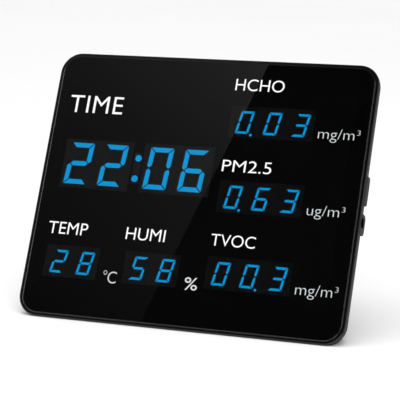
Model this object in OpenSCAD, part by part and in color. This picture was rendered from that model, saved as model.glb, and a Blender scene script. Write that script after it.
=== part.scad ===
// Desk air quality monitor: large smoked front panel over blue seven-segment
// readouts (time, temperature, humidity, formaldehyde, particles, vapours),
// thin black trim frame, pillow-shaped rear cover, rear kickstand, side rocker
// key and side power socket. Millimetres, +Z up, origin on the desk under the
// middle of the footprint. Front looks towards -Y and leans back.
// Inside the case every shape is written in the case frame: X to the right
// seen from the front, Y into the case from the front panel, Z up the panel.

/* [Which piece] */
// Sub-part to draw

/* [Case] */
// Width of the face
body_w = 346; // [345.6:0.2:349]
// Height of the face
body_h = 284.2; // [284.2:0.2:286.6]
// Corner radius of the face
corner_r = 21.9; // [21.4:0.1:24.2]
// Depth of the case, front panel to back wall
body_d = 30; // [30:0.5:34]
// Wall of the rear cover
wall = 2.4; // [2:0.1:2.8]
// Width of the black trim seen round the panel
lip = 3.65; // [3.55:0.02:3.79]
// Angle the panel leans back from upright when it stands on the desk
lean = 26.7; // [24:0.1:28]

/* [Kickstand] */
// Height of the kickstand hinge up the back
hinge_z = 182; // [180:0.5:184]
// Hinge to the centre of the rubber foot
leg_c = 157.4; // [156:0.1:158]
// Rod radius of the kickstand hinge
rod_r = 1.5; // [1.4:0.05:1.6]

/* [Readouts] */
// Height of the time digits
big_h = 44.5; // [43:0.1:46]
// Height of the small digits
small_h = 24; // [23:0.1:26]
// Digits shown as the time
time_shown = [2, 2, 0, 6];
// Digits shown as the temperature
temp_shown = [2, 8];
// Digits shown as the humidity
humidity_shown = [5, 8];

/* [Hidden] */
$fn = 48;

// Colours used by more than one piece
casing_black = [0.06, 0.06, 0.065];
module_black = [0.1, 0.1, 0.11];
chip_black = [0.06, 0.06, 0.06];
rubber_black = [0.05, 0.05, 0.05];
lit_blue = [0.07, 0.59, 0.86];
unlit_grey = [0.16, 0.16, 0.17];
board_green = [0.05, 0.25, 0.12];
steel = [0.7, 0.7, 0.72];
tin = [0.75, 0.75, 0.78];
nickel = [0.78, 0.78, 0.8];

// Trim round the panel, with a bevelled front edge; the panel stands proud of it
trim_front = 1.1;
trim_back = 2.4;
trim_bevel_w = 1.25;
trim_bevel_d = 0.9;

// Stance on the desk
hinge_y = 26.3;
pad_r = 2.6; // rubber foot of the kickstand
foot_h = 0.5; // how far the rubber feet stand out of the underside
floor_y = 2.4; // where the bevelled underside starts
lift = floor_y * sin(lean) + foot_h;
hinge_desk_y = hinge_y * cos(lean) + hinge_z * sin(lean);
hinge_desk_z = -hinge_y * sin(lean) + hinge_z * cos(lean) + lift;
open_a = lean + acos((hinge_desk_z - pad_r) / leg_c);
reach = hinge_desk_y + leg_c * sin(open_a - lean) + pad_r;
front_desk_y = trim_front * cos(lean) + trim_bevel_w * sin(lean);
y_shift = -(reach + front_desk_y) / 2;

// Edge of the case: a wide side arc that runs into a tighter back arc.
// X is measured from the centre of the corner.
half_w = body_w / 2;
side_r = 38.5;
side_y = 2.5;
side_x = corner_r - side_r;
back_r = 8;
back_y = body_d - back_r;
back_x = side_x + sqrt(pow(side_r - back_r, 2) - pow(back_y - side_y, 2));
side_arc_a = atan2(back_y - side_y, back_x - side_x);

// Main board, and the front face of the digit modules
board_front = 13.4;
board_back = board_front + 1.6;
face_y = 2.6;

// Side key
key_x = half_w - 8; // its pin
key_y = 8.3;
key_z = 156.45;
switch_dz = 9; // key's middle to each switch

// Power socket and its boss; "at" pairs are [y, z]
jack_seat = 169.05; // x of the seat of the socket's flange
jack_at = [8.25, 124.3];
boss_at = [10.45, 123];

fan_at = [99, 174]; // [x, z] of the particle sensor's fan

// ---- helpers -------------------------------------------------------------
// x, y and z are [from, to] spans unless they are called a place
function about(middle, half) = [middle - half, middle + half];
function off_board(low, high) = [board_back + low, board_back + high];
function off_seat(low, high) = [jack_seat + low, jack_seat + high];

// case frame to desk frame, and back
module in_case() {
  translate([0, y_shift, lift]) rotate([-lean, 0, 0]) children();
}
module in_desk() {
  rotate([lean, 0, 0]) translate([0, -y_shift, -lift]) children();
}
// moves to place [x, z]
module at(place) { translate([place[0], 0, place[1]]) children(); }
module box(x, y, z) {
  translate([x[0], y[0], z[0]]) cube([x[1] - x[0], y[1] - y[0], z[1] - z[0]]);
}
// cylinders along y, with its axis at [x, z], and along x, with its axis at [y, z]
module rod_y(place, y, radius) {
  translate([place[0], y[0], place[1]]) rotate([-90, 0, 0]) cylinder(r = radius, h = y[1] - y[0]);
}
module rod_x(x, place, radius) {
  translate([x[0], place[0], place[1]]) rotate([0, 90, 0]) cylinder(r = radius, h = x[1] - x[0]);
}
// flat shape drawn as (x, z), given a thickness in y
module slab_y(y) {
  translate([0, y[1], 0]) rotate([90, 0, 0]) linear_extrude(y[1] - y[0]) children();
}
// flat shape drawn as (y, z), given a thickness in x
module slab_x(x) {
  translate([x[0], 0, 0]) rotate([90, 0, 90]) linear_extrude(x[1] - x[0]) children();
}
module rounded(width, height, radius) {
  square([width - 2 * radius, height], center = true);
  square([width, height - 2 * radius], center = true);
  for (i = [-1, 1], j = [-1, 1])
    translate([i * (width / 2 - radius), j * (height / 2 - radius)]) circle(radius);
}
// rounded rectangle centred on x = 0
module upright(width, z, radius) {
  translate([0, (z[0] + z[1]) / 2]) rounded(width, z[1] - z[0], radius);
}
// slot with round ends, long in x
module pill(length, width) {
  square([length - width, width], center = true);
  for (i = [-1, 1]) translate([i * (length - width) / 2, 0]) circle(width / 2, $fn = 24);
}
// evenly spaced small rods on a circle round a place
module rod_ring(place, y, ring_r, count, radius, start = 0) {
  for (i = [0 : count - 1]) {
    angle = start + i * 360 / count;
    rod_y(place + ring_r * [cos(angle), sin(angle)], y, radius, $fn = 16);
  }
}
// screw with a cross recess; cross is the size of one arm
module screw(place, tip, shank_r, head, head_r, cross_y, cross) {
  difference() {
    union() {
      rod_y(place, head, head_r, $fn = 32);
      rod_y(place, [tip, head[0] + 0.01], shank_r, $fn = 24);
    }
    for (angle = [0, 90])
      translate([place[0], cross_y, place[1]]) rotate([0, angle, 0]) cube(cross, center = true);
  }
}

// face of the case
module outline(inset) {
  upright(body_w - 2 * inset, [inset, body_h - inset], corner_r - inset);
}
// section of the case edge: distance from the corner's centre, depth
module edge_section(inset) {
  square([corner_r - inset, side_y]);
  intersection() {
    translate([side_x, side_y]) circle(side_r - inset, $fn = 96);
    polygon([
      [side_x, side_y],
      [side_x + 70, side_y],
      [side_x + 70 * cos(side_arc_a), side_y + 70 * sin(side_arc_a)]
    ]);
    square([corner_r, body_d]);
  }
  intersection() {
    translate([back_x, back_y]) circle(back_r - inset, $fn = 64);
    square([corner_r, body_d]);
  }
  square([back_x, body_d - inset]);
}
// edge section at both ends of a flat middle
module full_section(length, inset) {
  half = length / 2 - corner_r;
  for (i = [0, 1]) mirror([i, 0]) translate([half, 0]) edge_section(inset);
  translate([-half, 0]) square([2 * half, body_d - inset]);
}
// solid case body
module pillow(inset) {
  for (i = [-1, 1], z = [corner_r, body_h - corner_r])
    at([i * (half_w - corner_r), z])
      rotate([-90, 0, 0]) rotate_extrude($fn = 64) edge_section(inset);
  translate([0, 0, corner_r]) linear_extrude(body_h - 2 * corner_r) full_section(body_w, inset);
  at([-(half_w - corner_r), body_h / 2])
    rotate([0, 90, 0]) linear_extrude(2 * (half_w - corner_r)) full_section(body_h, inset);
}
// everything below the bevelled underside, raised by an amount
module below(raised) {
  translate([0, floor_y, 0]) rotate([lean, 0, 0])
    translate([-250, -60, -100 + raised]) cube([500, 160, 100]);
}
// rounded plate with a chamfered front edge
module bevel_plate(width, height, radius, y, bevel_w, bevel_d) {
  function section(half) = [
    [-half + bevel_w, y[0]], [half - bevel_w, y[0]], [half, y[0] + bevel_d],
    [half, y[1]], [-half, y[1]], [-half, y[0] + bevel_d]
  ];
  corner = [
    [0, y[0]], [radius - bevel_w, y[0]], [radius, y[0] + bevel_d], [radius, y[1]], [0, y[1]]
  ];
  for (i = [-1, 1], j = [-1, 1])
    at([i * (width / 2 - radius), body_h / 2 + j * (height / 2 - radius)])
      rotate([-90, 0, 0]) rotate_extrude($fn = 64) polygon(corner);
  translate([0, 0, body_h / 2 - height / 2 + radius])
    linear_extrude(height - 2 * radius) polygon(section(width / 2));
  at([-(width / 2 - radius), body_h / 2])
    rotate([0, 90, 0]) linear_extrude(width - 2 * radius) polygon(section(height / 2));
}

// ---- readouts ------------------------------------------------------------
// Digit sizes: each pair below is [small, big]
SMALL = 0;
BIG = 1;
cell_w = [29.5, 38.1]; // pitch of the modules
cell_h = [33.3, 52.6];
figure_w = [14.1, 25.5];
figure_h = [small_h, big_h];
stroke_w = [2.42, 5];
segment_gap = [0.46, 0.7]; // each segment's share of the gap
slant = [tan(10.3), tan(4)];
figure_at = [[1.19, -0.4], [-1, 0.3]]; // from the module's centre
dot_at = [[7.9, -small_h / 2 - 1], [15.1, -21.6]]; // from the figure's centre
dot_r = [1.35, 2.3];
recess_d = [1, 1.2];
hollow_margin = [[5, 10], [6, 14]]; // module size less the hollow in its back
joint_half = [0.4, 0.45]; // half width of a pin end
joint_row = [14, 23]; // pin rows above and below their middle
joint_dz = [0, -0.3];

// Readouts: digit size, centre x, centre z, figures, place with a lit dot (-1 for none)
hours = [BIG, -113.75, 163.6, [time_shown[0], time_shown[1]], -1];
minutes = [BIG, -25.3, 163.6, [time_shown[2], time_shown[3]], -1];
temp = [SMALL, -122.8, 59.1, temp_shown, -1];
humidity = [SMALL, -35.05, 59.1, humidity_shown, -1];
hcho = [SMALL, 67.6, 218.7, [0, 0, 3], 0];
pm = [SMALL, 67.6, 139.9, [0, 6, 3], 0];
tvoc = [SMALL, 67.6, 60.9, [0, 0, 3], 1];
small_readouts = [temp, humidity, hcho, pm, tvoc];
readouts = concat([hours, minutes], small_readouts);

// Segments lit for each figure 0 to 9, in the order a b c d e f g
lit_segments = [
  [1, 1, 1, 1, 1, 1, 0], [0, 1, 1, 0, 0, 0, 0], [1, 1, 0, 1, 1, 0, 1],
  [1, 1, 1, 1, 0, 0, 1], [0, 1, 1, 0, 0, 1, 1], [1, 0, 1, 1, 0, 1, 1],
  [1, 0, 1, 1, 1, 1, 1], [1, 1, 1, 0, 0, 0, 0], [1, 1, 1, 1, 1, 1, 1],
  [1, 1, 1, 1, 0, 1, 1]
];

// centres of the modules in a readout, as [x, z]
function places(readout) =
  let (count = len(readout[3]))
  [for (i = [0 : count - 1])
    [readout[1] + (i - (count - 1) / 2) * cell_w[readout[0]], readout[2]]];

module segment(index, size) {
  right = figure_w[size] / 2;
  top = figure_h[size] / 2;
  stroke = stroke_w[size];
  gap = segment_gap[size];
  bar = [
    [-right + gap, top], [right - gap, top],
    [right - stroke - gap, top - stroke], [-right + stroke + gap, top - stroke]
  ];
  side = [
    [right, top - gap], [right, stroke * 0.42 + gap],
    [right - stroke * 0.2, stroke * 0.14 + gap], [right - stroke * 0.5, gap],
    [right - stroke, stroke / 2 + gap], [right - stroke, top - stroke - gap]
  ];
  middle = [
    [-right + stroke * 0.5 + gap, 0], [-right + stroke + gap, stroke / 2],
    [right - stroke - gap, stroke / 2], [right - stroke * 0.5 - gap, 0],
    [right - stroke - gap, -stroke / 2], [-right + stroke + gap, -stroke / 2]
  ];
  // shape of each segment a to g, and the signs that flip it into place
  shape = [bar, side, side, bar, side, side, middle][index];
  flip = [[1, 1], [1, 1], [1, -1], [1, -1], [-1, -1], [-1, 1], [1, 1]][index];
  polygon([for (point = shape)
    [point[0] * flip[0] + point[1] * flip[1] * slant[size], point[1] * flip[1]]]);
}
module dot(size) { translate(dot_at[size]) circle(dot_r[size], $fn = 24); }

// module housings, recessed for the segments and hollow between the pin rows
module housings(readout) {
  size = readout[0];
  cell = [cell_w[size], cell_h[size]];
  for (place = places(readout)) difference() {
    at(place) slab_y([face_y, board_front]) square([cell[0] - 0.1, cell[1]], center = true);
    at(place + figure_at[size]) slab_y([face_y - 1, face_y + recess_d[size]]) {
      for (n = [0 : 6]) segment(n, size);
      dot(size);
    }
    at(place) slab_y([board_front - 0.8, board_front + 1])
      square(cell - hollow_margin[size], center = true);
  }
}
// either the lit or the unlit segments and dots of a readout
module figures(readout, lit) {
  size = readout[0];
  shown = readout[3];
  centres = places(readout);
  for (i = [0 : len(shown) - 1])
    at(centres[i] + figure_at[size]) slab_y([face_y + 0.05, face_y + recess_d[size]]) {
      for (n = [0 : 6]) if ((lit_segments[shown[i]][n] == 1) == lit) segment(n, size);
      if ((i == readout[4]) == lit) dot(size);
    }
}

module time_digits() {
  color(module_black) in_case() {
    housings(hours);
    housings(minutes);
  }
}
module temp_digits() { color(module_black) in_case() housings(temp); }
module humidity_digits() { color(module_black) in_case() housings(humidity); }
module hcho_digits() { color(module_black) in_case() housings(hcho); }
module pm_digits() { color(module_black) in_case() housings(pm); }
module tvoc_digits() { color(module_black) in_case() housings(tvoc); }
module time_lit() {
  color(lit_blue) in_case() {
    figures(hours, true);
    figures(minutes, true);
  }
}
module temp_lit() { color(lit_blue) in_case() figures(temp, true); }
module humidity_lit() { color(lit_blue) in_case() figures(humidity, true); }
module hcho_lit() { color(lit_blue) in_case() figures(hcho, true); }
module pm_lit() { color(lit_blue) in_case() figures(pm, true); }
module tvoc_lit() { color(lit_blue) in_case() figures(tvoc, true); }
module time_dark() {
  color(unlit_grey) in_case() {
    figures(hours, false);
    figures(minutes, false);
  }
}
module small_dark() {
  color(unlit_grey) in_case() for (readout = small_readouts) figures(readout, false);
}

colon_at = [-69.1, 162.5];
module colon_dots() {
  for (i = [-1, 1]) translate(colon_at + i * [0.3, 10.9]) circle(3.5, $fn = 32);
}
module colon_module() {
  color([0.08, 0.08, 0.09]) in_case() difference() {
    slab_y([face_y, board_front]) translate(colon_at) rounded(10, 36, 1.5);
    slab_y([face_y - 1, face_y + recess_d[BIG]]) colon_dots();
  }
}
module colon_lit() {
  color(lit_blue) in_case() slab_y([face_y + 0.05, face_y + recess_d[BIG]]) colon_dots();
}
// soldered pin ends standing on the back of the board, ten to a module
module digit_joints() {
  color(tin) in_case() for (readout = readouts) {
    size = readout[0];
    across = about(0, joint_half[size]);
    for (place = places(readout), i = [-2 : 2], j = [-1, 1])
      at(place + [i * 2.54, joint_dz[size] + j * joint_row[size]])
        box(across, off_board(0, 1.5), across);
  }
}

// ---- front ---------------------------------------------------------------
lens_w = body_w - 2 * lip;
lens_h = body_h - 2 * (lip - 0.55);
lens_r = corner_r - lip;
lens_y = [0.2, 2.2];
mask_back = 2.4;
// [x, z] of the posts for the cover's screws, and of those for the board's
post_at = [[-146, 258], [0, 258], [146, 258], [-146, 24], [-60, 24], [60, 24], [146, 24]];
board_post_at = [[-148, 34], [0, 34], [148, 34], [-148, 243], [0, 243], [148, 243]];

module lens_outline(inset) {
  translate([0, body_h / 2]) rounded(lens_w - 2 * inset, lens_h - 2 * inset, lens_r - inset);
}
module front_lens() {
  color([0.03, 0.03, 0.035, 0.5]) in_case()
    bevel_plate(lens_w, lens_h, lens_r, lens_y, bevel_w = 1.15, bevel_d = 0.66);
}
// black layer behind the lens with a window for each readout
module window_mask() {
  color([0.02, 0.02, 0.02]) in_case() slab_y([lens_y[1], mask_back]) difference() {
    lens_outline(0.5);
    for (readout = readouts) {
      size = readout[0];
      translate([readout[1], readout[2]])
        square([len(readout[3]) * cell_w[size] + 0.4, cell_h[size] + 0.4], center = true);
    }
    translate(colon_at) rounded(9, 34, 1.5);
  }
}
module lens_adhesive() {
  color([0.25, 0.25, 0.25]) in_case() slab_y([mask_back, mask_back + 0.1]) difference() {
    lens_outline(0.9);
    lens_outline(9);
  }
}
module trim_plate() {
  bevel_plate(body_w, body_h, corner_r, [trim_front, trim_back], trim_bevel_w, trim_bevel_d);
}
module lens_seat() { slab_y([-1, 2.5]) lens_outline(-0.12); }
module front_frame() {
  color([0.03, 0.03, 0.03]) in_case() difference() {
    union() {
      difference() {
        union() {
          trim_plate();
          slab_y([trim_back - 0.5, 4.5]) outline(1.3);
        }
        lens_seat();
        slab_y([2, 6]) translate([-18.5, 138.75]) rounded(273, 201.5, 4);
        // room for the key and the power socket
        box([150, half_w + 1], [trim_back + 0.02, 6], [jack_at[1] - 16, key_z + 21]);
        // clear of the bevelled underside
        below(2.7);
      }
      // the trim itself stays whole along the bottom
      intersection() {
        difference() {
          trim_plate();
          lens_seat();
        }
        box([-half_w, half_w], [-1, trim_back], [-1, 20]);
      }
      for (place = post_at) rod_y(place, [4.4, 22], 3.6);
      for (place = board_post_at) rod_y(place, [4.4, board_front], 3.1);
      // ribs that stiffen the flange
      for (i = [-1, 1], z = [[246, 266], [10, 29]]) box(about(i * 80, 0.8), [4.4, 9], z);
    }
    for (place = post_at) rod_y(place, [8, 23], 1.5, $fn = 32);
    for (place = board_post_at) rod_y(place, [6.5, board_front + 1], 1.1, $fn = 32);
  }
}

// ---- rear cover ----------------------------------------------------------
pocket_w = 90; // pocket that takes the folded kickstand
pocket_z = [19, hinge_z + 9];
keyhole_x = 95;

module back_slots() {
  for (row = [0 : 9], i = [-1, 1]) translate([i * 94, 62 + row * 6]) pill(62, 2.4);
  // round grille behind the particle sensor's fan
  grille_r = 11;
  for (i = [-2 : 2])
    translate(fan_at + [0, i * 4]) pill(2 * sqrt(pow(grille_r, 2) - pow(i * 4, 2)), 2);
}
module keyhole() {
  circle(4.5);
  translate([-2.3, 0]) square([4.6, 9]);
  translate([0, 9]) circle(2.3, $fn = 32);
}
module foot_spots() {
  for (i = [-1, 1], y = [10.6, 23.4]) translate([i * 132, y + y_shift, 0]) children();
}
module boss_outline() { translate(boss_at) rounded(15.9, 20.6, 5.2); }

module cover_shell() {
  difference() {
    intersection() {
      pillow(0);
      box(about(0, half_w + 1), [trim_back + 0.05, body_d + 1], [-1, body_h + 1]);
    }
    below(0);
    difference() {
      pillow(wall);
      below(wall);
    }
    // room for the front frame's flange
    difference() {
      slab_y([0, 4.6]) outline(1.25);
      below(0.4);
    }
  }
}
module cover_additions() {
  // walls of the kickstand's pocket
  slab_y([20.6, body_d - 1.5])
    upright(pocket_w + 4.4, [pocket_z[0] - 2, pocket_z[1] + 2.2], 6);
  // flat boss round the power socket
  slab_x([168.9, half_w + 0.15]) boss_outline();
  intersection() {
    slab_x([jack_seat - 2.4, 169]) boss_outline();
    box([150, 170], [2.65, 20], [100, 150]);
  }
  // lugs that carry the key's pin
  for (y = [2.7, 13.1]) box([key_x - 3, half_w - 2], [y, y + 0.8], about(key_z, 4));
  // tubes that meet the frame's posts
  for (place = post_at) rod_y(place, [22.1, body_d - 1], 4.2);
  // keyhole pads
  for (i = [-1, 1])
    slab_y([body_d - wall - 1, body_d - 1]) translate([i * keyhole_x, 226]) rounded(22, 30, 4);
}
module cover_cuts() {
  slab_y([22.8, body_d + 1]) upright(pocket_w, pocket_z, 4);
  // finger scoop at the bottom of the pocket
  rod_x([-62, 62], [body_d + 8, 27], 9.5);
  slab_y([body_d - wall - 2, body_d + 1]) {
    back_slots();
    // keyholes for hanging it on a wall
    for (i = [-1, 1]) translate([i * keyhole_x, 222]) keyhole();
  }
  // screw holes
  for (place = post_at) {
    rod_y(place, [20, body_d + 1], 1.65, $fn = 32);
    rod_y(place, [27, body_d + 1], 3.3);
  }
  // power socket
  rod_x([jack_seat - 0.05, half_w + 3], jack_at, 5.35, $fn = 64);
  rod_x([jack_seat - 9, half_w + 3], jack_at, 4.05);
  // opening for the key and the bores of its pin
  slab_x([half_w - 7, half_w + 3]) translate([key_y, key_z]) rounded(9.5, 29.8, 2.7);
  rod_y([key_x, key_z], [2, 15], 1.02, $fn = 32);
  // slots along the top edge
  for (i = [-8 : 8])
    if (abs(i) > 1) box(about(i * 7, 1.2), [9, 20], [body_h - 14, body_h + 1]);
  // seats of the rubber feet
  in_desk() foot_spots() translate([0, 0, foot_h - 1]) cylinder(r = 5.6, h = 1.9);
}
// ears of the kickstand hinge
module hinge_ears() {
  difference() {
    for (x = [-40, 33.7]) translate([0, 0, hinge_z]) slab_x([x, x + 6.3]) {
      translate([22.3, -3.2]) square([hinge_y - 22.3, 6.4]);
      translate([hinge_y, 0]) circle(3.2);
    }
    rod_x([-50, 50], [hinge_y, hinge_z], rod_r + 0.02);
  }
}
module rear_cover() {
  color(casing_black) in_case() {
    difference() {
      union() {
        cover_shell();
        cover_additions();
      }
      cover_cuts();
    }
    hinge_ears();
  }
}
module cover_screws() {
  color([0.3, 0.3, 0.32]) in_case() for (place = post_at)
    screw(place, tip = 10, shank_r = 1.45, head = [27, 29], head_r = 2.9,
          cross_y = 29.5, cross = [3.4, 2.4, 0.7]);
}
module rubber_feet() {
  top = foot_h + 0.85;
  color(rubber_black) foot_spots() rotate_extrude()
    polygon([[0, 0], [5.1, 0], [5.5, 0.4], [5.5, top], [0, top]]);
}

// ---- electronics ---------------------------------------------------------
module main_board() {
  color(board_green) in_case() slab_y([board_front, board_back]) difference() {
    translate([0, 139]) rounded(308, 218, 3);
    for (place = board_post_at) translate(place) circle(1.45, $fn = 32);
  }
}
module board_screws() {
  color(steel) in_case() for (place = board_post_at)
    screw(place, tip = 8, shank_r = 1.05, head = off_board(0, 1.7), head_r = 2.4,
          cross_y = board_back + 1.7, cross = [2.8, 1.6, 0.6]);
}
// legs along the upper and lower sides of a chip
module chip_legs(width, height, count) {
  for (i = [0 : count - 1], j = [-1, 1])
    at([(i + 0.5) * width / count - width / 2, j * (height / 2 + 0.545)])
      box(about(0, 0.2), off_board(0, 0.9), about(0, 0.555));
}
// flat chip with a round mark in one corner and legs along two sides
module chip(place, width, height, top, legs) {
  at(place) {
    difference() {
      box(about(0, width / 2), off_board(0.15, top), about(0, height / 2));
      rod_y([-width / 2 + 1.4, height / 2 - 1.4], off_board(top - 0.1, top + 1), 0.5, $fn = 16);
    }
    chip_legs(width, height, legs);
  }
}
module driver_chips() {
  color(chip_black) in_case() for (place = [[-70, 128], [22, 175], [22, 100]])
    chip(place, width = 17.8, height = 7.5, top = 2.3, legs = 14);
}
module controller_chip() {
  place = [-70, 100];
  side = 10;
  color(chip_black) in_case() {
    chip(place, side, side, top = 1.5, legs = 11);
    // legs on the other two sides
    at(place) rotate([0, 90, 0]) chip_legs(side, side, 11);
  }
}
// small blocks, 1.6 by 2.2, in rows and one column at a pitch of 4
module chip_parts() {
  y = off_board(0, 0.7);
  color([0.45, 0.36, 0.28]) in_case() {
    // x and z of the first block, number of blocks
    for (row = [[-88, 84, 8], [10, 86, 6], [10, 187, 6]], i = [0 : row[2] - 1])
      at([row[0] + i * 4, row[1]]) box([0, 1.6], y, [0, 2.2]);
    for (i = [0 : 5]) at([132, 84 + i * 4]) box([0, 2.2], y, [0, 1.6]);
  }
}
module capacitors() {
  // radius, height off the board
  profile = [
    [0, 0], [4.2, 0], [4.2, 0.8], [4, 1.1], [4, 9.2],
    [3.6, 9.6], [3.2, 9.6], [3.2, 9.4], [0, 9.4]
  ];
  color([0.62, 0.63, 0.66]) in_case() for (place = [[138, 60], [138, 72], [-138, 112]])
    translate([place[0], board_back, place[1]]) rotate([-90, 0, 0])
      rotate_extrude() polygon(profile);
}
module inductor() {
  color([0.2, 0.2, 0.2]) in_case() {
    box([116, 126], off_board(0, 1), [55, 65]);
    rod_y([121, 60], off_board(0.99, 4.6), 4.6);
  }
}
cell_at = [-100, 204];
module cell_holder() {
  color([0.1, 0.1, 0.1]) in_case() difference() {
    union() {
      rod_y(cell_at, off_board(0, 5), 12);
      at(cell_at) box([-14, 14], off_board(0, 3.2), [-4, 4]);
    }
    rod_y(cell_at, off_board(1.2, 6), 10.15);
    at(cell_at) box([-4, 4], off_board(2, 6), [5, 13]);
  }
}
module coin_cell() {
  // radius, height
  profile = [
    [0, 0], [8.6, 0], [8.9, 0.3], [9.6, 0.4], [10, 0.8], [10, 2.9], [9.7, 3.2], [0, 3.2]
  ];
  color(nickel) in_case() translate([cell_at[0], board_back + 1.25, cell_at[1]])
    rotate([-90, 0, 0]) rotate_extrude() polygon(profile);
}

// ---- side key and power socket -------------------------------------------
// [y, z] of a switch or a wire; side is 1 for the upper one, -1 for the lower
function switch_at(side) = [key_y, key_z + side * switch_dz];
function wire_at(side) = [9, jack_at[1] + side * 2.5];

module key_board() {
  color(board_green) in_case() box([150, 151.6], [3, board_front - 0.05], about(key_z, 17));
}
module key_switches() {
  color([0.72, 0.72, 0.74]) in_case() for (i = [-1, 1]) difference() {
    box([151.6, 155], about(key_y, 3), about(switch_at(i)[1], 3));
    rod_x([153.9, 156], switch_at(i), 1.8, $fn = 32);
  }
}
module plunger(side) {
  color([0.12, 0.12, 0.12]) in_case() rod_x([154.3, 156.4], switch_at(side), 1.75, $fn = 32);
}
module plunger_upper() { plunger(1); }
module plunger_lower() { plunger(-1); }
module rocker_key() {
  pin_at = [key_x, key_z];
  crown_r = 500;
  color([0.07, 0.07, 0.075]) in_case() difference() {
    union() {
      // the cap, crowned along its length
      intersection() {
        slab_x([key_x + 2.6, half_w + 1]) translate([key_y, key_z]) rounded(8.8, 29, 2.4);
        rod_y([half_w + 1 - crown_r, key_z], [0, 30], crown_r, $fn = 720);
      }
      // hub on the pin
      rod_y(pin_at, about(key_y, 4.35), 3);
      box([key_x - 1.6, key_x + 3], about(key_y, 3), about(key_z, 10.6));
      // prongs that press the switches
      for (i = [-1, 1])
        box([156.45, key_x], about(key_y, 1.3), about(switch_at(i)[1], 1.3));
    }
    rod_y(pin_at, [2, 15], 1.05);
    // grooves across the middle of the cap
    for (i = [-3 : 3])
      box([half_w + 0.85, half_w + 2], about(key_y, 2.6), about(key_z + i * 1.6, 0.3));
  }
}
module key_pin() { color(steel) in_case() rod_y([key_x, key_z], about(key_y, 5.55), 1); }
module dc_jack() {
  color([0.03, 0.03, 0.03]) in_case() difference() {
    union() {
      // collar that lines the boss
      rod_x([jack_seat, half_w + 0.1], jack_at, 5.3, $fn = 64);
      rod_x(off_seat(-14.55, 0.01), jack_at, 3.95);
    }
    rod_x([jack_seat + 1, half_w + 1], jack_at, 4.8, $fn = 64);
    rod_x(off_seat(-10.85, 2), jack_at, 2.95);
    box(off_seat(-12.2, -10.8), about(jack_at[0], 0.7), about(jack_at[1], 0.7));
    rod_x(off_seat(0.4, 2), jack_at, 3.5);
  }
}
// centre pin with a square root and a round tip
module jack_contact() {
  color(nickel) in_case() {
    box(off_seat(-12.1, -10.74), about(jack_at[0], 0.65), about(jack_at[1], 0.65));
    rod_x(off_seat(-10.75, -0.15), jack_at, 1.05);
    translate([jack_seat - 0.15, jack_at[0], jack_at[1]]) sphere(r = 1.05, $fn = 32);
  }
}
module jack_nut() {
  color(tin) in_case() difference() {
    rod_x(off_seat(-4.95, -2.45), jack_at, 5.6, $fn = 6);
    rod_x(off_seat(-6, 0), jack_at, 4);
  }
}
module power_header() {
  color([0.85, 0.84, 0.8]) in_case() difference() {
    box([136, 143], [6.6, board_front - 0.02], about(jack_at[1], 5));
    for (i = [-1, 1]) rod_x([138, 144], wire_at(i), 0.95, $fn = 24);
  }
}
module jack_wires() {
  color([0.5, 0.05, 0.05]) in_case() for (i = [-1, 1])
    rod_x([138.2, jack_seat - 14.6], wire_at(i), 0.8, $fn = 24);
}

// ---- sensors -------------------------------------------------------------
// particle sensor; its cable leaves from the low-x side
pm_x = [64, 114];
pm_z = [155, 193];
pm_floor = 16.8; // front of the hollows in its case
pm_plug_z = [pm_z[1] - 15, pm_z[1] - 3];
function cable_at(i) = [20.5, pm_z[1] - 13.4 + i * 1.25];

module pm_case() {
  left = pm_x[0];
  color([0.16, 0.17, 0.2]) in_case() {
    difference() {
      box(pm_x, [board_back + 0.3, 25.9], pm_z);
      rod_y(fan_at, [pm_floor, 27], 11.5);
      box([left + 2, left + 17], [pm_floor, 27], [pm_z[0] + 2, pm_z[1] - 2]);
      box([left + 16.9, fan_at[0]], [19, 23], [pm_z[0] + 4, pm_z[0] + 10]);
      // inlet in the side
      box([left - 1, left + 3], [19, 22.6], [pm_z[0] + 6, pm_z[0] + 12]);
      // socket for the cable
      box([left - 1, left + 1.2], [17.6, 23.4], pm_plug_z);
    }
    // bearing post of the fan
    difference() {
      rod_y(fan_at, [16.6, 19.5], 2.2, $fn = 32);
      rod_y(fan_at, [17.2, 20], 0.8, $fn = 32);
    }
  }
}
module pm_lid() {
  size = [pm_x[1] - pm_x[0] - 0.4, pm_z[1] - pm_z[0] - 0.4];
  color([0.72, 0.73, 0.75]) in_case() slab_y([25.95, 26.6]) difference() {
    translate([(pm_x[0] + pm_x[1]) / 2, (pm_z[0] + pm_z[1]) / 2]) rounded(size[0], size[1], 2);
    translate(fan_at) circle(10);
    translate([pm_x[0] + 9, pm_z[0] + 9]) circle(2, $fn = 24);
  }
}
module pm_fan() {
  blades = 7;
  color([0.08, 0.08, 0.09]) in_case() {
    rod_y(fan_at, [17.4, 24.8], 0.75, $fn = 32);
    rod_y(fan_at, [19.8, 24.8], 4.2);
    for (i = [0 : blades - 1])
      at(fan_at) rotate([0, i * 360 / blades, 0])
        translate([3.8, 20, 0]) rotate([20, -14, 0]) cube([6.2, 4, 0.7]);
  }
}
module pm_cable() {
  color([0.15, 0.15, 0.16]) in_case() for (i = [0 : 7])
    rod_x([pm_x[0] - 6.2, pm_x[0] + 1], cable_at(i), 0.55, $fn = 16);
}
module pm_header() {
  color([0.86, 0.85, 0.8]) in_case() difference() {
    box([pm_x[0] - 13, pm_x[0] - 5.6], [board_back + 0.02, 22.4], pm_plug_z);
    for (i = [0 : 7]) rod_x([pm_x[0] - 6.4, pm_x[0]], cable_at(i), 0.58, $fn = 16);
  }
}
hcho_at = [86, 96];
module hcho_sensor() {
  color([0.8, 0.8, 0.78]) in_case() {
    rod_y(hcho_at, off_board(0.02, 7.4), 10, $fn = 64);
    rod_ring(hcho_at, off_board(7.39, 7.89), ring_r = 7, count = 3, radius = 0.7, start = 90);
  }
}
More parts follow.
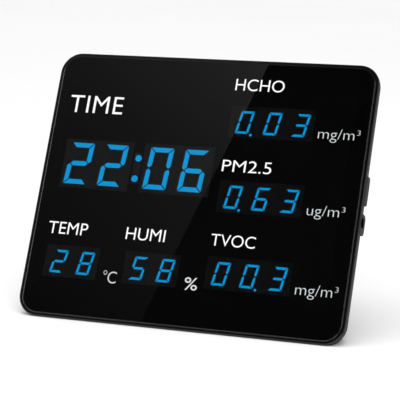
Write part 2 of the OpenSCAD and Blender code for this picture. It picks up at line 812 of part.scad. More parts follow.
module hcho_cap() {
  color([0.2, 0.2, 0.22]) in_case() difference() {
    rod_y(hcho_at, off_board(3, 9.4), 11.2, $fn = 64);
    rod_y(hcho_at, off_board(2, 8.1), 10.1, $fn = 64);
    // rings of holes: ring radius, number of holes
    for (ring = [[0, 1], [3.4, 6], [6.8, 12]])
      rod_ring(hcho_at, off_board(7, 10), ring[0], ring[1], 0.8);
  }
}
tvoc_at = [116, 96];
module tvoc_sensor() {
  color([0.7, 0.71, 0.72]) in_case() difference() {
    union() {
      rod_y(tvoc_at, off_board(0.02, 1.6), 5.1);
      rod_y(tvoc_at, off_board(1.59, 7.5), 4.6);
    }
    for (ring = [[0, 1], [2.6, 6]])
      rod_ring(tvoc_at, off_board(6.6, 8), ring[0], ring[1], 0.6);
  }
}
module climate_sensor() {
  color([0.12, 0.3, 0.62]) in_case() difference() {
    box([-100, -84], off_board(0.02, 5.5), [62, 74]);
    for (i = [0 : 4], j = [0 : 3])
      at([-98.4 + i * 2.8, 63.4 + j * 2.6]) box([0, 1.8], off_board(4.4, 6), [0, 1.4]);
  }
}

// ---- kickstand -----------------------------------------------------------
// frame of the opened leg: origin on the hinge, leg towards -Z
module at_hinge() {
  in_case() translate([0, hinge_y, hinge_z]) rotate([open_a, 0, 0]) children();
}
module kickstand() {
  color(casing_black) at_hinge() difference() {
    union() {
      slab_y([-1.8, 1.8]) difference() {
        union() {
          upright(84, [-154.5, -9], 6);
          translate([-33, -14]) square([66, 14]);
        }
        upright(54, [-126, -30], 8);
        // notch for the rubber foot
        translate([-30.2, -160]) square([60.4, 10]);
      }
      rod_x([-33, 33], [0, 0], 3.2);
      // heel that stops the leg against the pocket's floor
      rotate([-open_a, 0, 0]) box([-20, 20], [-3.35, 0], [0, 7]);
      // stiffening ribs beside the window
      for (i = [-1, 1]) box(about(i * 34.5, 0.9), [1.7, 2.9], [-130, -24]);
    }
    rod_x([-40, 40], [0, 0], rod_r + 0.06);
  }
}
module stand_rod() {
  color([0.72, 0.72, 0.75]) in_case() rod_x([-39.8, 39.8], [hinge_y, hinge_z], rod_r);
}
module stand_washers() {
  color([0.65, 0.65, 0.68]) in_case() for (x = [-33.6, 33.1]) difference() {
    rod_x([x, x + 0.5], [hinge_y, hinge_z], 2.9);
    rod_x([x - 1, x + 2], [hinge_y, hinge_z], rod_r + 0.05);
  }
}
module stand_foot() {
  color(rubber_black) at_hinge() slab_x([-30, 30]) translate([0, -leg_c]) {
    circle(pad_r);
    translate([-1.75, 0]) square([3.5, leg_c - 150.1]);
  }
}

front_lens();
window_mask();
lens_adhesive();
front_frame();
rear_cover();
cover_screws();
rubber_feet();
time_digits();
colon_module();
temp_digits();
humidity_digits();
hcho_digits();
pm_digits();
tvoc_digits();
time_lit();
colon_lit();
temp_lit();
humidity_lit();
hcho_lit();
pm_lit();
tvoc_lit();
time_dark();
small_dark();
digit_joints();
main_board();
board_screws();
driver_chips();
controller_chip();
chip_parts();
capacitors();
inductor();
cell_holder();
coin_cell();
key_board();
key_switches();
plunger_upper();
plunger_lower();
rocker_key();
key_pin();
dc_jack();
jack_contact();
jack_nut();
jack_wires();
power_header();
pm_case();
pm_lid();
pm_fan();
pm_cable();
pm_header();
hcho_sensor();
hcho_cap();
tvoc_sensor();
climate_sensor();
kickstand();
stand_rod();
stand_washers();
stand_foot();
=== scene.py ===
"""Desktop air-quality monitor: looks, printed captions and studio for its CAD pieces.

Case frame: X right, Y into the case, Z up the panel, in millimetres. The case leans back
over the floor, so its frame is turned about X and shifted into the world, in metres.
"""
import math
import bmesh
import bpy
from mathutils import Matrix, Vector


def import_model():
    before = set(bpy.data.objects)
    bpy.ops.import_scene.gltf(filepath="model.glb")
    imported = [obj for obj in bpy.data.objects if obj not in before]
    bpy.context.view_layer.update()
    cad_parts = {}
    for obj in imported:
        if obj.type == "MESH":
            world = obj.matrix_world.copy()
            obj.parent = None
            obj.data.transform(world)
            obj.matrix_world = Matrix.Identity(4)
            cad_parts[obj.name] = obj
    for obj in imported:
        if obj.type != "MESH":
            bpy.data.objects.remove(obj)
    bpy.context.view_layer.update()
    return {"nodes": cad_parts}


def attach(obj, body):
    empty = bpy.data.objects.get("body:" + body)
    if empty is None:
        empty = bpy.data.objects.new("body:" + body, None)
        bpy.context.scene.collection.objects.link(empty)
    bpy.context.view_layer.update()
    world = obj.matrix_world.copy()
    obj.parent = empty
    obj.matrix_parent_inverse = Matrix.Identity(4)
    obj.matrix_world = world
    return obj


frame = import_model()
NODES = frame["nodes"]
scene = bpy.context.scene

# ---------------------------------------------------------------- case frame
LEAN = math.radians(26.7)
LEAN_SIN, LEAN_COS = math.sin(LEAN), math.cos(LEAN)
CASE_SHIFT = Vector((0, -78.937359, 1.578366))
CASE = Matrix.Translation(CASE_SHIFT / 1000.0) @ Matrix.Rotation(-LEAN, 4, "X")

# Panel rectangle and the Y of its front face
PANEL_LEFT = -168.74
PANEL_BOTTOM, PANEL_TOP = 3.56, 280.04
PANEL_Y = 0.2


def turn(direction):
    """Case direction to world direction."""
    x, y, z = direction
    return Vector((x, y * LEAN_COS + z * LEAN_SIN, -y * LEAN_SIN + z * LEAN_COS))


def place(x, y, z):
    """Case point in millimetres to world point in metres."""
    return (turn((x, y, z)) + CASE_SHIFT) / 1000.0


def link_object(name, data):
    obj = bpy.data.objects.new(name, data)
    scene.collection.objects.link(obj)
    return obj


# ---------------------------------------------------------------- node graphs
class Graph:
    """Node tree of a material or world; most methods add a node and return its output."""

    def __init__(self, owner, output):
        self.owner = owner
        owner.use_nodes = True
        self.tree = owner.node_tree
        self.tree.nodes.clear()
        self.output = self.add(output)
        self.object_coords = None

    def add(self, kind, inputs=None, **settings):
        node = self.tree.nodes.new(kind)
        for key, value in settings.items():
            setattr(node, key, value)
        for key, value in (inputs or {}).items():
            self.put(node.inputs[key], value)
        return node

    def put(self, socket, value):
        """Link an output to the socket, or set the socket's value."""
        if isinstance(value, bpy.types.NodeSocket):
            self.tree.links.new(value, socket)
            return
        if isinstance(value, tuple) and len(value) == 3 and socket.type == "RGBA":
            value = (*value, 1.0)
        socket.default_value = value

    def coords(self):
        if self.object_coords is None:
            self.object_coords = self.add("ShaderNodeTexCoord").outputs["Object"]
        return self.object_coords

    def noise(self, scale, detail=2.0, rough=0.5, stretch=None, distortion=0.0):
        where = self.coords()
        if stretch is not None:
            mapping = self.add("ShaderNodeMapping", {"Vector": where, "Scale": stretch})
            where = mapping.outputs["Vector"]
        return self.add("ShaderNodeTexNoise", {
            "Vector": where, "Scale": scale, "Detail": detail, "Roughness": rough,
            "Distortion": distortion}).outputs["Fac"]

    def ramp(self, value, start, end, low=0.0, high=1.0):
        """Smooth step from low at start to high at end."""
        return self.add("ShaderNodeMapRange", {
            "Value": value, "From Min": start, "From Max": end, "To Min": low, "To Max": high},
            interpolation_type="SMOOTHSTEP").outputs["Result"]

    def math(self, operation, a, b):
        return self.add("ShaderNodeMath", {0: a, 1: b}, operation=operation).outputs[0]

    def times(self, a, b):
        return self.math("MULTIPLY", a, b)

    def vary(self, start, pattern, amount):
        """start + pattern * amount"""
        return self.math("ADD", start, self.times(pattern, amount))

    def dot(self, a, b):
        return self.add("ShaderNodeVectorMath", {0: a, 1: b},
                        operation="DOT_PRODUCT").outputs["Value"]

    def mix(self, factor, a, b):
        return self.add("ShaderNodeMix", {0: factor, 6: a, 7: b}, data_type="RGBA").outputs[2]

    def mix_value(self, factor, a, b):
        return self.add("ShaderNodeMix", {0: factor, 2: a, 3: b}, data_type="FLOAT").outputs[0]

    def mix_shader(self, factor, a, b):
        return self.add("ShaderNodeMixShader", {0: factor, 1: a, 2: b}).outputs[0]

    def bump(self, height, strength, distance, normal=None):
        inputs = {"Strength": strength, "Distance": distance, "Height": height}
        if normal is not None:
            inputs["Normal"] = normal
        return self.add("ShaderNodeBump", inputs).outputs["Normal"]

    def rounded(self, radius):
        """Normals rounded over at edges, as a moulded part's are."""
        return self.add("ShaderNodeBevel", {"Radius": radius}, samples=4).outputs["Normal"]

    def edge(self, radius):
        """0 on flats, 1 at sharp edges."""
        true_normal = self.add("ShaderNodeNewGeometry").outputs["Normal"]
        return self.ramp(self.dot(self.rounded(radius), true_normal), start=0.985, end=0.90)

    def surface(self, shader):
        """Link the final shader and return the material or world."""
        self.put(self.output.inputs["Surface"], shader)
        return self.owner

    def principled(self, **inputs):
        named = {key.replace("_", " "): value for key, value in inputs.items()}
        return self.surface(self.add("ShaderNodeBsdfPrincipled", named).outputs[0])


def material(name):
    return Graph(bpy.data.materials.new(name), "ShaderNodeOutputMaterial")


def scaled(colour, factor):
    return tuple(min(1.0, channel * factor) for channel in colour)


# ---------------------------------------------------------------- material families
def plastic(name, base, rough, grain=1400.0, grain_depth=0.00002, edge_wear_and_highlight=0.25, spec=0.5):
    """Moulded plastic: spark-eroded grain, slow drift of colour and gloss, edges lightened in
    patches, partly wear and partly a painted highlight.
    """
    mat = material(name)
    slow = mat.noise(scale=14.0, detail=3.0, rough=0.55)
    medium = mat.noise(scale=160.0, detail=3.0, rough=0.6)
    fine = mat.noise(scale=grain, rough=0.6)
    colour = mat.mix(slow, scaled(base, factor=0.88), scaled(base, factor=1.12))
    specks = mat.ramp(mat.noise(scale=grain * 0.6, detail=1.0), start=0.66, end=0.78)
    colour = mat.mix(mat.times(specks, 0.35), colour, scaled(base, factor=1.7))
    gloss = mat.vary(start=rough - 0.04, pattern=medium, amount=0.08)
    if edge_wear_and_highlight > 0:
        # edges lightened in patches: partly wear, partly a painted highlight along the edges
        patches = mat.ramp(mat.noise(scale=90.0, detail=4.0, rough=0.7), start=0.35, end=0.7)
        worn_and_highlit = mat.times(mat.times(mat.edge(radius=0.0005), patches), edge_wear_and_highlight)
        colour = mat.mix(worn_and_highlit, colour, scaled(base, factor=3.0))
        gloss = mat.math("SUBTRACT", gloss, mat.times(worn_and_highlit, 0.12))
    normal = mat.bump(fine, strength=0.5, distance=grain_depth, normal=mat.rounded(radius=0.0004))
    normal = mat.bump(slow, strength=0.25, distance=0.00025, normal=normal)
    return mat.principled(Base_Color=colour, Roughness=gloss, Normal=normal,
                          Specular_IOR_Level=spec, Coat_Weight=0.0, Coat_Roughness=0.12)


def metal(name, base, rough, stretch=(1.0, 1.0, 1.0), scratch=0.5):
    """Drawn, pressed or plated metal: directional scratches, dull patches, edges painted brighter
    as a highlight.
    """
    mat = material(name)
    lines = mat.noise(scale=900.0, detail=3.0, rough=0.65, stretch=stretch)
    slow = mat.noise(scale=60.0, detail=3.0, rough=0.6)
    colour = mat.mix(mat.times(slow, 0.2), base, scaled(base, factor=0.55))
    # painted highlight: every edge lightened in colour
    edge_highlight = mat.times(mat.edge(radius=0.0002), 0.5)
    colour = mat.mix(edge_highlight, colour, scaled(base, factor=1.2))
    gloss = mat.vary(start=rough - 0.06, pattern=lines, amount=0.16)
    gloss = mat.vary(start=gloss, pattern=slow, amount=0.06)
    normal = mat.bump(lines, strength=scratch, distance=0.00001)
    return mat.principled(Base_Color=colour, Roughness=gloss, Normal=normal, Metallic=1.0)


def rubber(name, base, rough=0.75):
    """Matt rubber or cable sheath with a little pale dust."""
    mat = material(name)
    fine = mat.noise(scale=2200.0, detail=3.0, rough=0.7)
    slow = mat.noise(scale=40.0, detail=3.0, rough=0.6)
    dust = mat.ramp(mat.noise(scale=500.0, detail=4.0, rough=0.7), start=0.52, end=0.75)
    colour = mat.mix(slow, scaled(base, factor=0.8), scaled(base, factor=1.25))
    colour = mat.mix(mat.times(dust, 0.18), colour, (0.22, 0.21, 0.20))
    return mat.principled(
        Base_Color=colour, Roughness=mat.vary(start=rough - 0.05, pattern=slow, amount=0.1),
        Normal=mat.bump(fine, strength=0.6, distance=0.00004), Specular_IOR_Level=0.35)


def ink(name, base):
    """Screen-printed ink: slightly uneven lay-down and a soft satin face."""
    mat = material(name)
    slow = mat.noise(scale=120.0, detail=3.0, rough=0.6)
    fine = mat.noise(scale=2600.0, rough=0.6)
    return mat.principled(
        Base_Color=mat.mix(slow, scaled(base, factor=0.965), scaled(base, factor=1.0)),
        Roughness=mat.vary(start=0.42, pattern=slow, amount=0.12),
        Normal=mat.bump(fine, strength=0.25, distance=0.00001), Specular_IOR_Level=0.4)


def module_face(name, dark, light):
    """Dull face of a display module or of an unlit segment."""
    mat = material(name)
    slow = mat.noise(scale=45.0)
    fine = mat.noise(scale=1600.0, detail=3.0, rough=0.65)
    return mat.principled(
        Base_Color=mat.mix(slow, dark, light),
        Roughness=mat.vary(start=0.62, pattern=fine, amount=0.12),
        Normal=mat.bump(fine, strength=0.4, distance=0.00003), Specular_IOR_Level=0.12)


# ---------------------------------------------------------------- single materials
TINT = 0.24            # share of light the smoked panel passes
LENS_PASS = 0.955      # further share allowed for when lighting the segments behind it


def lens_material():
    """Smoked acrylic: tinted, mirrors at its front face, faint smears and dust."""
    mat = material("m_lens")
    smear = mat.noise(scale=9.0, detail=3.0, rough=0.6, stretch=(1.0, 1.0, 0.5), distortion=0.6)
    rough = mat.ramp(smear, start=0.45, end=0.8, high=0.015)
    wave = mat.noise(scale=7.0, detail=1.0, rough=0.4)
    normal = mat.bump(wave, strength=0.02, distance=0.0002)
    tint = mat.mix(mat.noise(scale=5.0, detail=1.0),
                   (TINT, TINT, TINT * 1.02), (TINT * 0.97, TINT * 0.98, TINT))
    clear = mat.add("ShaderNodeBsdfTransparent", {"Color": tint})
    mirror = mat.add("ShaderNodeBsdfGlossy",
                     {"Color": (1, 1, 1), "Roughness": rough, "Normal": normal})
    fresnel = mat.add("ShaderNodeFresnel", {"IOR": 1.49, "Normal": normal})
    body = mat.mix_shader(fresnel.outputs[0], clear.outputs[0], mirror.outputs[0])
    # sparse dust specks lying on the face
    dust = mat.ramp(mat.noise(scale=900.0, rough=0.6), start=0.70, end=0.82, high=0.02)
    film = mat.add("ShaderNodeBsdfDiffuse", {"Color": (0.35, 0.35, 0.36)})
    dusty = mat.mix_shader(dust, body, film.outputs[0])
    # light leaves through the back face untouched
    back = mat.add("ShaderNodeNewGeometry").outputs["Backfacing"]
    plain = mat.add("ShaderNodeBsdfTransparent")
    return mat.surface(mat.mix_shader(back, dusty, plain.outputs[0]))


def light_bar():
    """Even blue glow with slightly hotter spots, raised to make up for the smoked panel."""
    mat = material("m_blue_light")
    cells = mat.add("ShaderNodeTexVoronoi", {"Scale": 240.0, "Vector": mat.coords()},
                    feature="F1").outputs["Distance"]
    spots = mat.ramp(cells, start=0.0, end=0.7, low=1.04, high=0.97)
    grain = mat.ramp(mat.noise(scale=1800.0), start=0.3, end=0.7, low=0.985, high=1.015)
    glow = mat.times(mat.times(spots, grain), 1.0 / (TINT * LENS_PASS))
    return mat.principled(
        Base_Color=(0.012, 0.06, 0.10), Roughness=0.45,
        Normal=mat.bump(mat.noise(scale=900.0), strength=0.3, distance=0.00003),
        Emission_Color=(0.0010, 0.277, 0.585), Emission_Strength=glow)


def board():
    """Solder mask over copper: faint track pattern under the green lacquer."""
    mat = material("m_board")
    tracks = mat.add("ShaderNodeTexBrick", {
        "Vector": mat.coords(), "Scale": 120.0, "Mortar Size": 0.05,
        "Color1": (0.010, 0.085, 0.035), "Color2": (0.016, 0.120, 0.050),
        "Mortar": (0.028, 0.180, 0.075)})
    slow = mat.noise(scale=20.0)
    return mat.principled(
        Base_Color=mat.mix(mat.times(slow, 0.5), tracks.outputs["Color"], (0.008, 0.06, 0.028)),
        Roughness=mat.vary(start=0.25, pattern=slow, amount=0.15),
        Normal=mat.bump(tracks.outputs["Fac"], strength=0.4, distance=0.00003))


def mask():
    """Near-black window mask."""
    mat = material("m_mask")
    slow = mat.noise(scale=30.0, detail=3.0)
    fine = mat.noise(scale=2000.0)
    return mat.principled(
        Base_Color=mat.mix(slow, (0.0042, 0.0042, 0.0045), (0.0054, 0.0054, 0.0058)),
        Roughness=mat.vary(start=0.6, pattern=slow, amount=0.1),
        Normal=mat.bump(fine, strength=0.2, distance=0.00001), Specular_IOR_Level=0.03)


# ---------------------------------------------------------------- looks of the CAD pieces
SHELL = plastic("m_shell", (0.034, 0.034, 0.035), rough=0.60, grain=1500.0,
                grain_depth=0.000015, spec=0.08)
TRIM = plastic("m_trim", (0.0022, 0.0022, 0.0025), rough=0.14, grain=900.0,
               grain_depth=0.000002, edge_wear_and_highlight=0.08)
KEY = plastic("m_key", (0.058, 0.058, 0.059), rough=0.62, grain=1700.0,
              grain_depth=0.000015, edge_wear_and_highlight=0.15, spec=0.03)
LENS = lens_material()
LIT = light_bar()
INK_WHITE = ink("m_ink_white", (0.93, 0.93, 0.92))
INK_GREY = ink("m_ink_grey", (0.62, 0.64, 0.66))
FACE = module_face("m_face", (0.056, 0.056, 0.059), (0.068, 0.068, 0.071))
FACE_MID = module_face("m_face_mid", (0.078, 0.078, 0.081), (0.090, 0.090, 0.093))
FACE_BIG = module_face("m_face_big", (0.094, 0.094, 0.097), (0.108, 0.108, 0.111))
UNLIT = module_face("m_unlit", (0.066, 0.066, 0.070), (0.080, 0.080, 0.085))
UNLIT_BIG = module_face("m_unlit_big", (0.102, 0.102, 0.106), (0.118, 0.118, 0.122))

# Scratch directions of drawn metal: the noise is stretched along the small axis
ALONG_X, ALONG_Y = (0.1, 1, 1), (1, 0.1, 1)
SOFT_X, SOFT_Y = (0.15, 1, 1), (1, 0.2, 1)

LOOKS = {
    "front_lens": LENS,
    "window_mask": mask(),
    "lens_adhesive": rubber("m_adhesive", (0.05, 0.05, 0.05)),
    "front_frame": TRIM,
    "rear_cover": SHELL,
    "kickstand": SHELL,
    "cover_screws": metal("m_dark_screw", (0.10, 0.10, 0.11), rough=0.38, scratch=0.4),
    "rubber_feet": rubber("m_rubber", (0.018, 0.018, 0.018)),
    "main_board": board(),
    "board_screws": metal("m_zinc", (0.62, 0.63, 0.66), rough=0.30),
    "rocker_key": KEY,
    "key_pin": metal("m_pin", (0.70, 0.70, 0.71), rough=0.16, stretch=ALONG_Y),
    "dc_jack": plastic("m_jack", (0.0028, 0.0028, 0.0030), rough=0.45, edge_wear_and_highlight=0.05, spec=0.0),
    "jack_contact": metal("m_nickel", (0.74, 0.73, 0.70), rough=0.16, stretch=ALONG_X),
    "jack_nut": metal("m_nut", (0.66, 0.65, 0.62), rough=0.28),
    "jack_wires": rubber("m_wire_red", (0.32, 0.02, 0.02), rough=0.5),
    "power_header": plastic("m_nylon", (0.72, 0.70, 0.64), rough=0.45, edge_wear_and_highlight=0.0),
    "pm_case": plastic("m_sensor_case", (0.045, 0.048, 0.060), rough=0.45),
    "pm_lid": metal("m_tin", (0.64, 0.65, 0.67), rough=0.30, stretch=SOFT_X),
    "pm_fan": plastic("m_fan", (0.018, 0.018, 0.020), rough=0.40),
    "pm_cable": rubber("m_wire_black", (0.02, 0.02, 0.021), rough=0.5),
    "hcho_sensor": plastic("m_sensor_white", (0.66, 0.66, 0.62), rough=0.5, edge_wear_and_highlight=0.0),
    "hcho_cap": plastic("m_cap", (0.06, 0.06, 0.065), rough=0.5),
    "tvoc_sensor": metal("m_can", (0.60, 0.61, 0.63), rough=0.26, stretch=SOFT_Y),
    "climate_sensor": plastic("m_sensor_blue", (0.03, 0.11, 0.40), rough=0.45, edge_wear_and_highlight=0.0),
    "coin_cell": metal("m_cell", (0.68, 0.68, 0.69), rough=0.24),
    "cell_holder": plastic("m_holder", (0.02, 0.02, 0.02), rough=0.5),
    "capacitors": metal("m_cap_can", (0.62, 0.63, 0.66), rough=0.30, stretch=SOFT_Y),
    "inductor": rubber("m_ferrite", (0.06, 0.06, 0.065), rough=0.6),
    "chip_parts": plastic("m_ceramic", (0.26, 0.17, 0.10), rough=0.5, edge_wear_and_highlight=0.0),
    "key_switches": metal("m_switch", (0.58, 0.58, 0.60), rough=0.32),
    "stand_rod": metal("m_rod", (0.62, 0.62, 0.64), rough=0.24, stretch=ALONG_X),
    "stand_washers": metal("m_washer", (0.52, 0.52, 0.54), rough=0.34),
    "digit_joints": metal("m_solder", (0.66, 0.66, 0.67), rough=0.34),
    "time_dark": UNLIT_BIG,
    "small_dark": UNLIT,
    "time_digits": FACE_BIG,
    "colon_module": FACE_BIG,
    "temp_digits": FACE_MID,
    "humidity_digits": FACE_MID,
}
for chip in ("driver_chips", "controller_chip"):
    LOOKS[chip] = plastic("m_" + chip, (0.014, 0.014, 0.015), rough=0.55, edge_wear_and_highlight=0.0)
LOOKS["key_board"] = LOOKS["main_board"]
LOOKS["pm_header"] = LOOKS["power_header"]
LOOKS["stand_foot"] = LOOKS["rubber_feet"]
LOOKS["plunger_upper"] = LOOKS["plunger_lower"] = LOOKS["cell_holder"]


def look_of(name):
    if name.endswith("_lit"):
        return LIT
    if name.endswith("_digits"):
        return LOOKS.get(name, FACE)
    return LOOKS[name]


for name, piece in NODES.items():
    look = look_of(name)
    if not piece.material_slots:
        piece.data.materials.append(look)
    for slot in piece.material_slots:
        slot.material = look


# ---------------------------------------------------------------- printed captions
INK_THICKNESS = 0.04

# name, text, left, bottom, right, top (case mm), ink, outline offset, letter spacing.
# Where right is None the letters keep their own proportions.
CAPTIONS = [
    ("ink_time", "TIME", -154.895, 218.634, None, 237.239, INK_WHITE, -0.004, 1.06),
    ("ink_hcho", "HCHO", 24.229, 251.084, None, 263.632, INK_WHITE, -0.004, 1.0),
    ("ink_particles", "PM2.5", 23.580, 164.984, 75.500, 177.315, INK_WHITE, -0.006, 1.0),
    ("ink_vapours", "TVOC", 24.229, 87.969, 70.741, 100.084, INK_WHITE, -0.006, 1.0),
    ("ink_temp", "TEMP", -153.597, 87.104, None, 99.651, INK_WHITE, -0.004, 1.0),
    ("ink_humidity", "HUMI", -67.063, 87.104, None, 99.651, INK_WHITE, -0.004, 1.0),
    ("ink_unit_top", "mg/m³", 118.118, 201.760, 160.952, 215.822, INK_GREY, -0.015, 1.0),
    ("ink_unit_mid", "ug/m³", 118.118, 122.799, 156.625, 136.860, INK_GREY, -0.015, 1.0),
    ("ink_unit_low", "mg/m³", 118.118, 42.755, 160.952, 57.250, INK_GREY, -0.015, 1.0),
    ("ink_degrees", "°C", -84.154, 40.376, -69.443, 53.139, INK_GREY, -0.010, 0.9),
    ("ink_percent", "%", 3.678, 40.808, 17.523, 53.788, INK_GREY, 0.002, 1.0),
]


def text_mesh(name, text, offset, spacing):
    """Lettering of unit size as a mesh, with its two faces either side of Z = 0."""
    curve = bpy.data.curves.new(name, "FONT")
    curve.body = text
    curve.size = 1.0
    curve.offset = offset
    curve.space_character = spacing
    curve.resolution_u = 8
    curve.extrude = 0.004
    holder = link_object(name + "_tmp", curve)
    bpy.context.view_layer.update()
    depsgraph = bpy.context.evaluated_depsgraph_get()
    mesh = bpy.data.meshes.new_from_object(holder.evaluated_get(depsgraph), depsgraph=depsgraph)
    bpy.data.objects.remove(holder)
    return mesh


def caption(name, text, left, bottom, right, top, look, offset, spacing):
    """Ink lettering laid on the panel's face, fitted to its box."""
    mesh = text_mesh(name, text, offset, spacing)
    xs = [vert.co.x for vert in mesh.vertices]
    ys = [vert.co.y for vert in mesh.vertices]
    x_min, y_min = min(xs), min(ys)
    scale_z = (top - bottom) / (max(ys) - y_min)
    scale_x = scale_z if right is None else (right - left) / (max(xs) - x_min)
    for vert in mesh.vertices:
        x = left + (vert.co.x - x_min) * scale_x
        y = PANEL_Y - (INK_THICKNESS if vert.co.z > 0 else 0.0)
        z = bottom + (vert.co.y - y_min) * scale_z
        vert.co = Vector((x, y, z)) / 1000.0
    mesh.transform(CASE)
    bm = bmesh.new()
    bm.from_mesh(mesh)
    bmesh.ops.remove_doubles(bm, verts=bm.verts, dist=0.000001)
    bmesh.ops.recalc_face_normals(bm, faces=bm.faces)
    bm.to_mesh(mesh)
    bm.free()
    mesh.name = name
    obj = link_object(name, mesh)
    mesh.materials.clear()
    mesh.materials.append(look)
    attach(obj, "case")


for entry in CAPTIONS:
    caption(*entry)


# ---------------------------------------------------------------- camera
# The panel seen from the camera (X right, Y down, Z forward): the directions of its right,
# down and inward axes, and its top left corner in millimetres.
SEEN_RIGHT = Vector((0.93758, 0.06932, -0.34080))
SEEN_DOWN = Vector((-0.15632, 0.95936, -0.23493))
SEEN_IN = Vector((0.31066, 0.27354, 0.91031))
SEEN_CORNER = Vector((-140.824433, -152.636752, 1749.569657))

CAMERA = place(PANEL_LEFT - SEEN_CORNER.dot(SEEN_RIGHT),
               PANEL_Y - SEEN_CORNER.dot(SEEN_IN),
               PANEL_TOP + SEEN_CORNER.dot(SEEN_DOWN))


def add_camera():
    up = -turn((SEEN_RIGHT.y, SEEN_IN.y, -SEEN_DOWN.y))
    back = -turn((SEEN_RIGHT.z, SEEN_IN.z, -SEEN_DOWN.z))
    back.normalize()
    up = (up - back * up.dot(back)).normalized()
    axes = Matrix((up.cross(back), up, back)).transposed()
    data = bpy.data.cameras.new("camera")
    data.sensor_width = 36.0
    data.lens = 148.5
    data.clip_start, data.clip_end = 0.05, 50.0
    camera = bpy.data.objects.new("camera", data)
    camera.matrix_world = Matrix.Translation(CAMERA) @ axes.to_4x4()
    scene.collection.objects.link(camera)
    scene.camera = camera


add_camera()


# ---------------------------------------------------------------- floor
def floor(half=9.0):
    """Pale square floor, half its side in metres."""
    mat = material("m_floor")
    slow = mat.noise(scale=1.3)
    fine = mat.noise(scale=220.0, detail=3.0)
    look = mat.principled(
        Base_Color=mat.mix(slow, (0.86, 0.86, 0.86), (0.90, 0.90, 0.90)),
        Roughness=mat.vary(start=0.8, pattern=fine, amount=0.1),
        Normal=mat.bump(fine, strength=0.1, distance=0.0002), Specular_IOR_Level=0.1)
    mesh = bpy.data.meshes.new("floor")
    corners = [(-half, -half, 0), (half, -half, 0), (half, half, 0), (-half, half, 0)]
    mesh.from_pydata(corners, [], [(0, 1, 2, 3)])
    mesh.materials.append(look)
    link_object("floor", mesh)


floor()

# ---------------------------------------------------------------- reflected card
# Rays from the camera's mirror image through the panel show what the panel reflects.
PANEL_NORMAL = turn((0, -1, 0))
PANEL_CENTRE = place(0, PANEL_Y, (PANEL_BOTTOM + PANEL_TOP) / 2)
MIRROR = CAMERA - PANEL_NORMAL * (2 * (CAMERA - PANEL_CENTRE).dot(PANEL_NORMAL))
MIRROR_AXIS = (PANEL_CENTRE - MIRROR).normalized()
CARD_DISTANCE = 1.5                   # metres from the panel's centre
CARD_CENTRE = PANEL_CENTRE + MIRROR_AXIS * CARD_DISTANCE

# The card as its reflection lies on the panel, in case mm
EDGE_TOP = (56.2034, 281.76034)       # X, Z on its slanted right edge
EDGE_BOTTOM = (-35.3056, 5.28634)
CARD_WIDTH = -2 * PANEL_LEFT          # as wide as the panel
CARD_ROWS = CARD_COLS = 24
OVERRUN = 0.25                        # share of the edge added beyond each end
# Logarithm of the brightness at X = Z = 0, and its rise per mm along X and Z
GLOW_LOG, GLOW_LOG_X, GLOW_LOG_Z = -2.4331828, 0.0034668721, 0.0046224961


def on_card(x, z):
    """Where the ray mirrored at a point of the panel meets the card's plane."""
    ray = (place(x, PANEL_Y, z) - MIRROR).normalized()
    reach = (CARD_CENTRE - MIRROR).dot(MIRROR_AXIS) / ray.dot(MIRROR_AXIS)
    return MIRROR + ray * reach


def card():
    """Soft card above, in front and to the left, seen only in glossy faces."""
    verts, glows, faces = [], [], []
    for row in range(CARD_ROWS + 1):
        share = -OVERRUN + (1 + 2 * OVERRUN) * row / CARD_ROWS
        edge_x = EDGE_TOP[0] + (EDGE_BOTTOM[0] - EDGE_TOP[0]) * share
        z = EDGE_TOP[1] + (EDGE_BOTTOM[1] - EDGE_TOP[1]) * share
        for col in range(CARD_COLS + 1):
            x = edge_x - CARD_WIDTH * col / CARD_COLS
            verts.append(tuple(on_card(x, z)))
            glows.append(math.exp(GLOW_LOG + GLOW_LOG_X * x + GLOW_LOG_Z * z))
    stride = CARD_COLS + 1
    for row in range(CARD_ROWS):
        for col in range(CARD_COLS):
            first = row * stride + col
            faces.append((first, first + 1, first + stride + 1, first + stride))
    mesh = bpy.data.meshes.new("card")
    mesh.from_pydata(verts, [], faces)
    mesh.attributes.new("glow", "FLOAT", "POINT").data.foreach_set("value", glows)
    mat = material("m_card")
    glow = mat.add("ShaderNodeAttribute", attribute_name="glow").outputs["Fac"]
    emission = mat.add("ShaderNodeEmission", {"Strength": glow})
    mesh.materials.append(mat.surface(emission.outputs[0]))
    obj = link_object("card", mesh)
    for ray_kind in ("camera", "diffuse", "shadow", "transmission", "volume_scatter"):
        setattr(obj, "visible_" + ray_kind, False)


card()


# ---------------------------------------------------------------- world
DIFFUSE_LEVEL = 0.66       # strength that lights the scene
BACKDROP_LEVEL = 0.98      # strength the camera sees


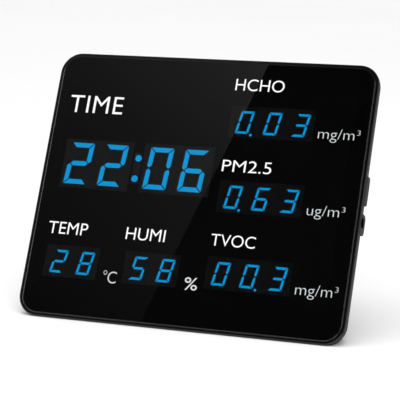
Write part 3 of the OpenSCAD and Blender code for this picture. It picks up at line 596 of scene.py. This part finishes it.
def world():
    scene.world = bpy.data.worlds.new("studio")
    sky = Graph(scene.world, "ShaderNodeOutputWorld")
    direction = sky.add("ShaderNodeTexCoord").outputs["Generated"]
    axes = sky.add("ShaderNodeSeparateXYZ", {0: direction}).outputs

    # what shiny faces see: pale walls low down, dimmer overhead, a dark flag in front
    height = sky.ramp(axes["Z"], start=0.0, end=0.75, low=0.46, high=0.20)
    flag = sky.ramp(sky.dot(direction, (-0.35, -0.72, 0.60)), start=math.cos(math.radians(52)),
                    end=math.cos(math.radians(34)), low=1.0, high=0.12)
    right = sky.ramp(sky.dot(direction, (0.83, -0.32, 0.45)), start=0.86, end=0.955, high=0.75)
    # a white wall on the left and a patch overhead draw bright lines along the panel's bevel
    left = sky.times(sky.ramp(axes["X"], start=-0.93, end=-0.85, low=0.95, high=0.0),
                     sky.ramp(axes["Y"], start=0.10, end=0.20, low=1.0, high=0.0))
    top = sky.ramp(sky.dot(direction, (-0.55, 0.20, 0.81)), start=0.955, end=0.99, high=0.20)
    walls = sky.math("ADD", sky.math("ADD", height, right), sky.math("ADD", left, top))
    shiny = sky.times(walls, flag)

    rays = sky.add("ShaderNodeLightPath").outputs
    level = sky.mix_value(rays["Is Glossy Ray"], DIFFUSE_LEVEL, shiny)
    level = sky.mix_value(rays["Is Camera Ray"], level, BACKDROP_LEVEL)
    background = sky.add("ShaderNodeBackground", {"Color": (1, 1, 1), "Strength": level})
    sky.surface(background.outputs[0])


world()


# ---------------------------------------------------------------- lights
AIM = Vector((0, 0, 0.12))       # point the area lights face, metres


def add_light(name, data, direction, location=(0, 0, 0)):
    """Light pointing along a direction, hidden from glossy rays."""
    obj = bpy.data.objects.new(name, data)
    obj.location = location
    obj.rotation_mode = "QUATERNION"
    obj.rotation_quaternion = Vector(direction).to_track_quat("-Z", "Y")
    obj.visible_glossy = False
    scene.collection.objects.link(obj)


def overhead():
    """Broad source above and a little behind the case: a soft contact shadow."""
    data = bpy.data.lights.new("overhead", "SUN")
    data.energy = 1.35
    data.angle = math.radians(50)
    add_light("overhead", data, direction=(0.10, -0.12, -1.0))


def square_area(name, location, side, watts):
    data = bpy.data.lights.new(name, "AREA")
    data.shape = "RECTANGLE"
    data.size = data.size_y = side
    data.energy = watts
    add_light(name, data, direction=AIM - Vector(location), location=location)


overhead()
square_area("key", location=(1.1, -1.5, 1.9), side=1.3, watts=16.0)
square_area("fill", location=(-1.6, -0.8, 1.1), side=1.2, watts=5.0)

scene.view_settings.view_transform = "Standard"
scene.view_settings.look = "None"
scene.view_settings.exposure = 0.0
scene.view_settings.gamma = 1.0
